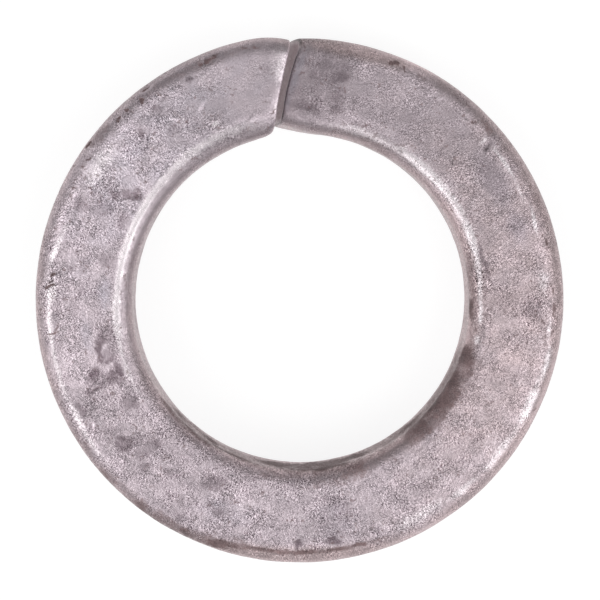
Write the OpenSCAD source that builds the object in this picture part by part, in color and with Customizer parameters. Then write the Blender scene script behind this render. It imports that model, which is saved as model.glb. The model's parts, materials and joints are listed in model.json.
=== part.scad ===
// Spring lock washer: one turn of square-edged steel wire, coiled left-handed round a bolt and cut
// through on a slant, so that its two ends stand one above the other and bite when it is tightened.
// The bore's axis is Z, the split faces +Y, and the lowest point of the low end is at Z = 0.

/* [Wire] */
// Radial width of the wire
wire_w = 7.1; // [4:0.1:9]
// Thickness of the wire at the middle of its width
wire_t = 5.2; // [4:0.1:7]
// How much thicker the wire is at the bore than at the rim
wire_taper = 0.3; // [0:0.05:0.6]
// Rounding of the wire's two long edges at the bore
bore_edge_r = 1.1; // [0.6:0.05:1.5]
// Rounding of the wire's two long edges at the rim
rim_edge_r = 1.3; // [0.6:0.05:1.5]

/* [Coil] */
// Diameter of the bore
bore_d = 24.8; // [20:0.1:36]
// Height of the raised end above the low end
end_rise = 4.3; // [2:0.1:6]

/* [Split] */
// Turn of the split from +Y, anticlockwise seen from above
split_turn = 4.6; // [-45:0.1:45]
// Gap between the ends, seen from above
split_gap = 0.4; // [0.3:0.05:1.5]
// Turn of the cut away from the radius, seen from above
cut_slant = 18; // [0:1:25]
// Lean of the cut faces away from upright
cut_bevel = 9; // [5:1:30]
// How far the cut bends clockwise at the bore, from the middle of the wire inwards
cut_bow = 0.38; // [0:0.01:0.6]
// How far the low end's cut face bends back at the top of its rim side
cut_flare = 0.6; // [0:0.01:0.8]
// Rounding of the cut faces' outlines
cut_r = 0.12; // [0.1:0.01:0.4]

/* [Low end] */
// How far the low end narrows at its bore side
low_bore_pull = 0.8; // [0:0.05:1]
// Length of wire over which the low end narrows at its bore side
low_bore_l = 3.7; // [1:0.1:4]
// How far the low end narrows at its rim side
low_rim_pull = 0.05; // [0:0.05:0.6]
// Length of wire over which the low end narrows at its rim side
low_rim_l = 3; // [1:0.1:4]
// How far the top face rolls down at the low end
low_top_pull = 0.02; // [0:0.01:0.3]
// Length of wire over which the top face rolls down at the low end
low_top_l = 1; // [0.5:0.1:4]

/* [Raised end] */
// How far the raised end narrows at its bore side
high_bore_pull = 0.25; // [0:0.05:0.8]
// Length of wire over which the raised end narrows at its bore side
high_bore_l = 0.6; // [0.5:0.1:4]
// How far the raised end narrows at its rim side
high_rim_pull = 0.4; // [0:0.05:0.6]
// Length of wire over which the raised end narrows at its rim side
high_rim_l = 3; // [1:0.1:4]
// How far the top face rolls down at the raised end
high_top_pull = 0.16; // [0:0.01:0.3]
// Length of wire over which the top face rolls down at the raised end
high_top_l = 1; // [0.5:0.1:4]

/* [Hidden] */

bore_r = bore_d / 2;
rim_r = bore_r + wire_w;
mid_r = bore_r + wire_w / 2;

// The swept wire is this much too wide on each side, and true cylinders trim it
trim = 0.01;
// Steps in each rounded edge, across each flat face, in the cut's rounding, along an end's narrowing
// and round the coil
edge_steps = 6;
face_steps = 4;
cut_steps = 3;
pull_steps = 8;
coil_steps = 110;
outline_n = 4 * edge_steps + 2 * face_steps + 2;
// The stations of an end stand closer together towards the cut by this power
pull_crowd = 1.5;

// The wire's flat faces slope down from the bore to the rim by this angle
face_slope = atan(wire_taper / 2 / wire_w);
// Way round the coil that takes one millimetre off a cut end
cut_step = sqrt(1 + tan(cut_slant) ^ 2 + tan(cut_bevel) ^ 2);
// Length of each end that is built parallel to its cut
end_l = max(low_bore_l, low_rim_l, low_top_l, high_bore_l, high_rim_l, high_top_l);
// The coil's stations turn from the cut's slant to radial over one part in this many of a turn
square_up = 6;

// Half the wire's thickness at radius r
function half_t(r) = (wire_t - wire_taper * (r - mid_r) / wire_w) / 2;

// [pull, length] of the narrowing at each end's bore side, rim side and top face
low_pulls = [[low_bore_pull, low_bore_l], [low_rim_pull, low_rim_l], [low_top_pull, low_top_l]];
high_pulls = [[high_bore_pull, high_bore_l], [high_rim_pull, high_rim_l], [high_top_pull, high_top_l]];

// How far a side has moved in at depth d from the cut, for a [pull, length] that fades out
function pull_at(d, pull) = pull[0] * max(0, 1 - d / pull[1]) ^ 2;

// An arc of one edge as [radius, height] points, round c between two angles
function edge_arc(c, edge_r, first, last) = [
    for (k = [0:edge_steps])
        let (turn = first + (last - first) * k / edge_steps)
        c + edge_r * [cos(turn), sin(turn)]
];

// The points between two corners that divide the flat face between them
function face_points(p, q) = [for (k = [1:face_steps - 1]) p + (q - p) * k / face_steps];

// Outline of the wire as [radius, height] points, anticlockwise from the rim's top edge. inset draws
// it in all round, and bore_in, rim_in and top_in move three of its sides in
function outline(inset = 0, bore_in = 0, rim_in = 0, top_in = 0) =
    let (
        out_c = rim_r + trim - rim_in - rim_edge_r,
        in_c = bore_r - trim + bore_in + bore_edge_r,
        out_h = half_t(out_c) - rim_edge_r / cos(face_slope),
        in_h = half_t(in_c) - bore_edge_r / cos(face_slope),
        face = 90 - face_slope,
        rim_top = edge_arc([out_c, out_h - top_in], rim_edge_r - inset, 0, face),
        bore_top = edge_arc([in_c, in_h - top_in], bore_edge_r - inset, face, 180),
        bore_foot = edge_arc([in_c, -in_h], bore_edge_r - inset, 180, 360 - face),
        rim_foot = edge_arc([out_c, -out_h], rim_edge_r - inset, 360 - face, 360),
        top = face_points(rim_top[edge_steps], bore_top[0]),
        foot = face_points(bore_foot[edge_steps], rim_foot[0])
    )
    concat(rim_top, top, bore_top, bore_foot, foot, rim_foot);

// Angle clockwise from the split at which a line at radius r and height h along the coil meets the
// face parallel to the cut that stands x clockwise of the split's middle and has this bow and flare
function meet(r, h, x, bow = 0, flare = 0, a = 0, tries = 8) =
    tries == 0 ? a :
    let (
        across = (r - mid_r) / (wire_w / 2),
        up = max(0, h / (wire_t / 2)),
        slant_x = (r * cos(a) - mid_r) * tan(cut_slant),
        bevel_x = (end_rise * a / 360 + h - wire_t / 2) * tan(cut_bevel),
        bend_x = bow * max(0, -across) ^ 2 + flare * max(0, across) ^ 3 * up ^ 2
    )
    meet(r, h, x, bow, flare, asin((x + slant_x + bevel_x + bend_x) / r), tries - 1);

// Point at angle a round the coil, from a [radius, height] point of the outline
function coil_point(p, a) = [p[0] * sin(a), p[0] * cos(a), p[1] + end_rise * a / 360];

// [depth from the cut, inset] of the stations at each end, from the cut inwards
end_stations = [
    for (k = [0:cut_steps]) [cut_r * (1 - cos(90 * k / cut_steps)), cut_r * (1 - sin(90 * k / cut_steps))],
    for (k = [1:pull_steps]) [cut_r + (end_l - cut_r) * (k / pull_steps) ^ pull_crowd, 0]
];

// The station s of an end: way is 1 at the low end and -1 at the raised end
function end_ring(s, way, pulls, flare) =
    let (
        ring = outline(s[1], pull_at(s[0], pulls[0]), pull_at(s[0], pulls[1]), pull_at(s[0], pulls[2])),
        x = way * (split_gap / 2 + s[0] * cut_step),
        fade = 1 - s[0] / end_l,
        turns = way > 0 ? 0 : 360
    )
    [for (p = ring) coil_point(p, turns + meet(p[0], p[1], x, cut_bow * fade, flare * fade))];

// The stations between the two ends: u runs from 0 at the low end to 1 at the raised end
function coil_ring(u) =
    let (
        ring = outline(),
        x = split_gap / 2 + end_l * cut_step,
        first = meet(mid_r, 0, x),
        last = 360 + meet(mid_r, 0, -x),
        low_share = max(0, 1 - u * square_up),
        high_share = max(0, 1 - (1 - u) * square_up)
    )
    [
        for (p = ring)
            let (
                low_shift = meet(p[0], p[1], x) - first,
                high_shift = 360 + meet(p[0], p[1], -x) - last
            )
            coil_point(p, first + (last - first) * u + low_shift * low_share + high_shift * high_share)
    ];

low_rings = [for (s = end_stations) end_ring(s, 1, low_pulls, cut_flare)];
high_rings = [for (s = end_stations) end_ring(s, -1, high_pulls, 0)];
coil_rings = [for (k = [1:coil_steps - 1]) coil_ring(k / coil_steps)];
rings = concat(low_rings, coil_rings, [for (k = [len(high_rings) - 1:-1:0]) high_rings[k]]);

ring_points = [for (ring = rings, p = ring) p];
lowest = min([for (p = ring_points) p[2]]);
highest = max([for (p = ring_points) p[2]]);

// Index of outline point i of station j
function at(j, i) = j * outline_n + i % outline_n;

// Triangles of the cut face at station j, between each pair of points one above the other
function cut_face(j) = [
    for (i = [0:outline_n / 2 - 2])
        let (below = outline_n - 1 - i)
        each [[at(j, i), at(j, i + 1), at(j, below)], [at(j, i + 1), at(j, below - 1), at(j, below)]]
];

last_ring = len(rings) - 1;
ring_faces = [
    each cut_face(0),
    for (f = cut_face(last_ring)) [f[2], f[1], f[0]],
    for (j = [0:last_ring - 1], i = [0:outline_n - 1]) [at(j, i), at(j + 1, i), at(j + 1, i + 1)],
    for (j = [0:last_ring - 1], i = [0:outline_n - 1]) [at(j, i), at(j + 1, i + 1), at(j, i + 1)]
];

// The wire swept once round the bolt, from the low end clockwise up to the raised end
module coil() {
    polyhedron(points = ring_points, faces = ring_faces, convexity = 8);
}

// A round bar on the bore's axis, past both faces of the washer
module bar(r) {
    translate([0, 0, lowest - 1])
        cylinder(h = highest - lowest + 2, r = r, $fn = 240);
}

module washer() {
    color([0.64, 0.61, 0.63])
        translate([0, 0, -lowest])
            rotate([0, 0, split_turn])
                intersection() {
                    difference() {
                        coil();
                        bar(bore_r);
                    }
                    bar(rim_r);
                }
}

washer();
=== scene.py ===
"""Looks of the spring lock washer: a coiled ring of hot-dip galvanised steel with slanted cut ends."""

import json
import math

import bpy
import numpy as np
from mathutils import Matrix, Vector, noise


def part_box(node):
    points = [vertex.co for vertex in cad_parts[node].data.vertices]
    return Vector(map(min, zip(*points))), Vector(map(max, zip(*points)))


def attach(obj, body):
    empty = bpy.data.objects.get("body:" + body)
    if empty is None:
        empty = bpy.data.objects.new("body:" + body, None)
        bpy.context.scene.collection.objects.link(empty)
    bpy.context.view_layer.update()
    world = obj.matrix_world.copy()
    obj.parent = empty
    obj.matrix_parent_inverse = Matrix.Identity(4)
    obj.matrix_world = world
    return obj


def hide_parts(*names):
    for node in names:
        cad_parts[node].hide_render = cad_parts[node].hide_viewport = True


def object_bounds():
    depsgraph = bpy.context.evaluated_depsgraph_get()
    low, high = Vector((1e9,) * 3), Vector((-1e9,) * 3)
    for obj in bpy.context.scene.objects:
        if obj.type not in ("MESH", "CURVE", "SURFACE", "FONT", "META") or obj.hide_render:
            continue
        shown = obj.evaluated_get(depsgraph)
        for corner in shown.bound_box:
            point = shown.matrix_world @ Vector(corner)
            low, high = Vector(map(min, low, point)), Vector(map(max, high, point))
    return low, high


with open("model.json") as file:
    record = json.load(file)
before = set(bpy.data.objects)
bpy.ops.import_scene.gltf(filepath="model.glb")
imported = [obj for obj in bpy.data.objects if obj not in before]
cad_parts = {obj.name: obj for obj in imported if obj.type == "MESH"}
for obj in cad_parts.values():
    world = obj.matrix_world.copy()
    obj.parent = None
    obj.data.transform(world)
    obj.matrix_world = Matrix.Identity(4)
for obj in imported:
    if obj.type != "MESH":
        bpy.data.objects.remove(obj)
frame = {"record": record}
cad_low, cad_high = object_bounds()

MM = 0.001

# ---------------------------------------------------------------- sizes of the washer

BORE = next(m for m in frame["record"]["mounts"] if m["name"] == "bore")
LOW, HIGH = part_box("washer")

RIM_R = (HIGH.x - LOW.x) / 2
BORE_R = BORE["dims"]["r_mm"] * MM
WIRE_W = RIM_R - BORE_R
MID_R = (RIM_R + BORE_R) / 2

# The wire and its cut, as the CAD part is built
WIRE_T = 5.2 * MM
WIRE_TAPER = 0.3 * MM
BORE_EDGE_R = 1.1 * MM
RIM_EDGE_R = 1.3 * MM
END_RISE = 4.3 * MM
SPLIT_TURN = math.radians(4.6)
SPLIT_GAP = 0.4 * MM
CUT_SLANT = math.radians(18)
CUT_BEVEL = math.radians(9)
CUT_BOW = 0.38 * MM
CUT_R = 0.12 * MM
CUT_FLARE = 0.60 * MM
# How far each side of an end moves in, and over what length of wire
LOW_PULLS = {"bore": (0.8 * MM, 3.7 * MM), "rim": (0.05 * MM, 3.0 * MM), "top": (0.02 * MM, 1.0 * MM)}
HIGH_PULLS = {"bore": (0.25 * MM, 0.6 * MM), "rim": (0.4 * MM, 3.0 * MM), "top": (0.16 * MM, 1.0 * MM)}
END_L = max(length for pulls in (LOW_PULLS, HIGH_PULLS) for _, length in pulls.values())

# How finely the wire's surface is divided
COIL_STEPS = 820
CUT_STEPS = 5
END_STEPS = 34
TOP_STEPS, BOTTOM_STEPS, WALL_STEPS = 50, 8, 8
TOP_EDGE_STEPS, BOTTOM_EDGE_STEPS = 12, 5
CAP_RINGS = 8

# Width of the painted shadow along the low end's cut, where the gap lies in shade, and of the painted
# highlight along the raised end's
PAINTED_CUT_LINE_L = 0.12 * MM

# Slope of the wire's flat faces down from the bore to the rim
FACE_SLOPE = math.atan(WIRE_TAPER / 2 / WIRE_W)
# Way round the coil for each metre of depth from a cut
CUT_STEP = math.sqrt(1 + math.tan(CUT_SLANT) ** 2 + math.tan(CUT_BEVEL) ** 2)
# The stations turn from the cut's slant to radial over one part in this many of a turn
SQUARE_UP = 6
# Steps in which the angle of a point on the cut is found
MEET_TRIES = 10
# Nought, as a column with a row for one station
ZERO = np.zeros((1, 1))


# ---------------------------------------------------------------- the swept wire

def half_t(r):
    """Half the wire's thickness at radius r."""
    return (WIRE_T - WIRE_TAPER * (r - MID_R) / WIRE_W) / 2


def outline(inset=ZERO, bore=ZERO, rim=ZERO, top=ZERO):
    """Radii and heights of the wire's outline at each station, with how far its sides have moved in."""
    out_c = RIM_R - rim - RIM_EDGE_R
    in_c = BORE_R + bore + BORE_EDGE_R
    out_h = half_t(out_c) - RIM_EDGE_R / math.cos(FACE_SLOPE)
    in_h = half_t(in_c) - BORE_EDGE_R / math.cos(FACE_SLOPE)
    face = math.pi / 2 - FACE_SLOPE
    corners = [
        (out_c, out_h - top, RIM_EDGE_R, 0, face, TOP_EDGE_STEPS, TOP_STEPS),
        (in_c, in_h - top, BORE_EDGE_R, face, math.pi, TOP_EDGE_STEPS, WALL_STEPS),
        (in_c, -in_h, BORE_EDGE_R, math.pi, 2 * math.pi - face, BOTTOM_EDGE_STEPS, BOTTOM_STEPS),
        (out_c, -out_h, RIM_EDGE_R, 2 * math.pi - face, 2 * math.pi, BOTTOM_EDGE_STEPS, WALL_STEPS),
    ]
    arcs = []
    for r, h, edge_r, first, last, steps, _ in corners:
        turns = np.linspace(first, last, steps + 1)[None, :]
        arcs.append((r + (edge_r - inset) * np.cos(turns), h + (edge_r - inset) * np.sin(turns)))
    radii, heights = [], []
    for k, corner in enumerate(corners):
        (r, h), (next_r, next_h) = arcs[k], arcs[(k + 1) % 4]
        share = np.linspace(0, 1, corner[-1] + 1)[None, 1:-1]
        radii += [r, r[:, -1:] * (1 - share) + next_r[:, :1] * share]
        heights += [h, h[:, -1:] * (1 - share) + next_h[:, :1] * share]
    return np.hstack(radii), np.hstack(heights)


def girth():
    """How far each outline point is from the middle of the top face, along the outline, plus to the rim."""
    r, h = (grid[0] for grid in outline())
    step = np.hypot(np.diff(r, append=r[0]), np.diff(h, append=h[0]))
    along = np.concatenate([[0], np.cumsum(step)[:-1]])
    middle = along[TOP_EDGE_STEPS + TOP_STEPS // 2]
    whole = step.sum()
    return (middle - along + whole / 2) % whole - whole / 2


def meet(r, h, x, bow=0, flare=0):
    """Angle clockwise from the split at which a line at radius r, height h meets a face like the cut."""
    a = np.zeros_like(r)
    across = (r - MID_R) / (WIRE_W / 2)
    up = np.clip(h / (WIRE_T / 2), 0, None)
    bend_x = bow * np.clip(-across, 0, None) ** 2 + flare * np.clip(across, 0, None) ** 3 * up ** 2
    for _ in range(MEET_TRIES):
        slant_x = (r * np.cos(a) - MID_R) * math.tan(CUT_SLANT)
        bevel_x = (END_RISE * a / (2 * math.pi) + h - WIRE_T / 2) * math.tan(CUT_BEVEL)
        a = np.arcsin((x + slant_x + bevel_x + bend_x) / r)
    return a


def end_stations():
    """Depth and inset of the stations at each end, from the cut inwards, as column vectors."""
    turn = np.linspace(0, math.pi / 2, CUT_STEPS + 1)
    depth = np.append(CUT_R * (1 - np.cos(turn)), np.linspace(CUT_R, END_L, END_STEPS + 1)[1:])
    inset = np.append(CUT_R * (1 - np.sin(turn)), np.zeros(END_STEPS))
    return depth[:, None], inset[:, None]


def end_rings(way, pulls, flare):
    """Radius, height and angle of every point near one end: way is 1 at the low end, -1 at the raised end."""
    depth, inset = end_stations()
    moved = {side: pull * np.clip(1 - depth / length, 0, None) ** 2 for side, (pull, length) in pulls.items()}
    r, h = outline(inset, **moved)
    x = way * (SPLIT_GAP / 2 + depth * CUT_STEP)
    fade = 1 - depth / END_L
    return r, h, meet(r, h, x, CUT_BOW * fade, flare * fade) + (0 if way > 0 else 2 * math.pi)


def coil_rings():
    """Radius, height and angle of every point between the two ends."""
    r, h = outline()
    x = SPLIT_GAP / 2 + END_L * CUT_STEP
    middle = np.full((1, 1), MID_R)
    first, last = meet(middle, ZERO, x), 2 * math.pi + meet(middle, ZERO, -x)
    u = (np.arange(1, COIL_STEPS) / COIL_STEPS)[:, None]
    low_shift = (meet(r, h, x) - first) * np.clip(1 - u * SQUARE_UP, 0, None)
    high_shift = (2 * math.pi + meet(r, h, -x) - last) * np.clip(1 - (1 - u) * SQUARE_UP, 0, None)
    a = first + (last - first) * u + low_shift + high_shift
    return np.broadcast_to(r, a.shape), np.broadcast_to(h, a.shape), a


def swept_wire():
    """The whole coil as (stations, points) arrays of radius, height above the wire's middle, and angle."""
    low = end_rings(1, LOW_PULLS, CUT_FLARE)
    high = end_rings(-1, HIGH_PULLS, 0)
    return [np.vstack([a, b, c[::-1]]) for a, b, c in zip(low, coil_rings(), high)]


def placed(r, h, a):
    """Points in the CAD's frame, from radius, height and clockwise angle from the split."""
    turn = math.pi / 2 + SPLIT_TURN - a
    z = h + END_RISE * a / (2 * math.pi)
    return np.stack([r * np.cos(turn), r * np.sin(turn), z - z.min() + LOW.z], -1)


def outward(points):
    """Unit normals of a (stations, points) grid that closes on itself round the wire."""
    along = np.gradient(points, axis=0)
    around = np.roll(points, -1, axis=1) - np.roll(points, 1, axis=1)
    normal = np.cross(around, along)
    return normal / np.linalg.norm(normal, axis=-1, keepdims=True)


# ---------------------------------------------------------------- marks on the zinc coat

# Each mark: its bearing clockwise from +Y in degrees, its place across in millimetres from the middle of
# the top face (plus towards the rim, and on round the wall to the underside), its length and width in
# millimetres, the lean of its length from along the ring towards the rim in degrees, and its strength

# Brown oxide: along the bore's edge, along the rim, and in the pits
STAINS = [
    # On the top face and its edges
    (13.6, -2.25, 0.6, 0.22, 0, 0.6),
    (19.8, -2.1, 0.45, 0.25, 0, 0.8),
    (20.0, 2.6, 0.5, 0.2, 20, 1.0),
    (20.8, 3.05, 0.9, 0.4, -8, 1.5),
    (23.3, 2.85, 0.25, 0.6, 0, 1.2),
    (25, -2.4, 1.8, 0.25, 0, 0.5),
    (26, -3.9, 2.6, 1.2, 0, 0.4),
    (27.5, 2.9, 1.2, 0.5, 0, 0.6),
    (28, -3.1, 2.4, 0.5, 0, 0.35),
    (31, -2.3, 1.4, 0.22, 0, 0.5),
    (38, 3.0, 2.2, 0.5, 0, 0.55),
    (43.7, 2.3, 0.3, 0.25, 0, 1.0),
    (46.5, 2.9, 1.7, 0.7, 0, 0.65),
    (54, -4.6, 1.8, 0.8, 0, 0.4),
    (66, 2.9, 1.4, 1.4, 0, 0.4),
    (76, 2.7, 1.3, 0.25, 0, 1.2),
    (84, -3.7, 4.8, 1.2, 0, 0.45),
    (87, 2.65, 0.8, 0.2, 0, 0.9),
    (92, 2.75, 1.4, 0.22, 0, 0.75),
    (93, -3.6, 1.9, 1.5, 0, 0.35),
    (95, -3.5, 2.4, 0.7, 0, 0.3),
    (97, 2.75, 1.2, 0.18, 0, 0.7),
    (107, -3.25, 2.0, 1.8, 0, 0.48),
    (112, -3.25, 3.4, 1.8, 0, 0.52),
    (113, -2.15, 3.4, 1.1, 0, 0.42),
    (121, -3.25, 3.4, 1.8, 0, 0.43),
    (126, -2.1, 4.0, 1.1, 0, 0.24),
    (131, -3.2, 3.4, 1.9, 0, 0.25),
    (136, -2.1, 2.2, 1.1, 0, 0.24),
    (138.5, -3.2, 2.2, 1.9, 0, 0.25),
    (157, -2.7, 1.2, 0.6, 0, 0.15),
    (163.5, -3.0, 1.6, 0.8, 10, 0.2),
    (167, 2.6, 0.9, 0.3, 5, 0.7),
    (171.5, 2.45, 1.6, 0.3, 0, 0.4),
    (180, 2.5, 1.2, 0.35, -5, 0.4),
    (183, -3.4, 1.4, 0.7, 0, 0.3),
    (190, -2.9, 2.2, 0.4, 0, 0.3),
    (190, 2.45, 1.8, 0.35, 0, 0.4),
    (190.5, -3.35, 0.9, 0.5, 0, 0.25),
    (195, 2.25, 1.4, 0.4, 0, 0.5),
    (198, 3.2, 2.4, 0.9, 0, 0.5),
    (200.5, 3.1, 0.6, 0.35, 0, 1.5),
    (203, 3.2, 3.6, 1.5, 0, 0.55),
    (209, -3.6, 5.0, 1.2, 0, 0.1),
    (213, 3.4, 5.0, 1.9, 0, 0.58),
    (221.5, -1.0, 0.7, 0.35, 0, 0.6),
    (224, 3.5, 4.6, 1.8, 0, 0.42),
    (225, -3.6, 5.0, 1.6, 0, 0.1),
    (234, 3.5, 4.6, 1.5, 0, 0.32),
    (245, 3.6, 4.6, 1.3, 0, 0.3),
    (257, 3.6, 4.6, 1.1, 0, 0.1),
    (263.6, 2.4, 1.0, 0.14, -62, 0.95),
    (265.2, 2.0, 0.7, 0.12, -60, 0.75),
    (274.3, 2.45, 0.9, 0.22, -60, 2.4),
    (275.7, 2.4, 0.5, 0.14, -60, 1.6),
    (277.2, 2.4, 0.7, 0.18, -58, 2.0),
    (278, -3.0, 1.4, 0.25, -8, 0.5),
    (279, 3.4, 4.5, 0.8, 0, 0.25),
    (285, -3.15, 1.6, 0.25, 0, 0.45),
    (293, 3.3, 3.5, 0.8, 0, 0.3),
    (297, 2.6, 0.5, 0.2, -30, 1.2),
    (301, 2.9, 1.0, 0.2, -20, 0.9),
    (303.5, 2.9, 1.5, 0.6, 0, 0.35),
    (304.5, 2.75, 0.7, 0.18, -40, 0.9),
    (307.0, 3.5, 0.5, 0.3, 0, 2.0),
    (310, 3.2, 2.4, 0.8, 0, 0.5),
    (315.6, 3.1, 0.34, 0.32, 0, 2.6),
    (318.1, 2.95, 0.5, 0.24, 0, 1.6),
    (321.8, 2.85, 0.4, 0.3, 0, 2.4),
    (324.4, 3.5, 0.8, 0.3, 0, 1.2),
    (335, 2.95, 9.0, 0.8, 0, 0.4),
    (338.0, 3.0, 0.8, 0.18, 8, 0.95),
    (340.5, 3.1, 0.6, 0.16, -5, 0.9),
    (348, 3.1, 1.4, 0.3, 0, 0.7),
    (351.6, -1.8, 0.55, 0.25, 25, 0.9),
    # On the walls and the underside
    (50, 6.4, 2.0, 0.8, 0, 0.5),
    (60, 8.2, 5.0, 0.8, 0, 0.5),
    (95, 6.8, 3.0, 0.6, 0, 0.5),
    (123, -5.3, 9.0, 3.6, 0, 0.62),
    (140, 6.6, 1.4, 0.6, 0, 0.6),
    (150, -8.3, 6.0, 0.9, 0, 0.5),
    (150, -5.8, 6.4, 3.2, 0, 0.52),
    (176, -5.5, 7.6, 3.4, 0, 0.78),
    (182, 6.9, 4.0, 0.7, 0, 0.5),
    (202, -5.4, 6.4, 3.2, 0, 0.5),
    (220, 8.3, 5.0, 0.9, 0, 0.5),
    (221, -5.6, 4.6, 3.0, 0, 0.5),
    (228, 6.7, 2.4, 0.7, 0, 0.5),
    (231, -5.6, 3.0, 3.0, 0, 0.25),
    (270, 6.9, 3.0, 0.6, 0, 0.5),
    (280, -8.2, 4.0, 0.7, 0, 0.45),
    (312, 6.6, 1.8, 0.8, 0, 0.5),
    (330, 8.2, 3.0, 0.8, 0, 0.5),
]

# Brown oxide in long bands with straight edges, along the bore's edge and the rim's
BANDS = [
    (131, -3.35, 5.6, 2.0, 0, 0.42),
    (152, -3.2, 4.0, 2.2, 0, 0.29),
    (164, 2.55, 3.0, 0.3, 0, 0.55),
    (168, -3.2, 3.9, 2.2, 0, 0.43),
    (174.5, 2.6, 4.2, 0.4, 0, 0.7),
    (186, -3.2, 4.9, 2.2, 0, 0.22),
    (186.5, 2.62, 4.2, 0.45, 0, 0.7),
    (196, 2.66, 2.4, 0.5, 0, 0.6),
    (205, -3.2, 4.4, 2.0, 0, 0.18),
    (207, -4.3, 3.4, 0.6, 0, 0.3),
    (225, -3.9, 5.4, 0.9, 0, 0.55),
]

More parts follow.
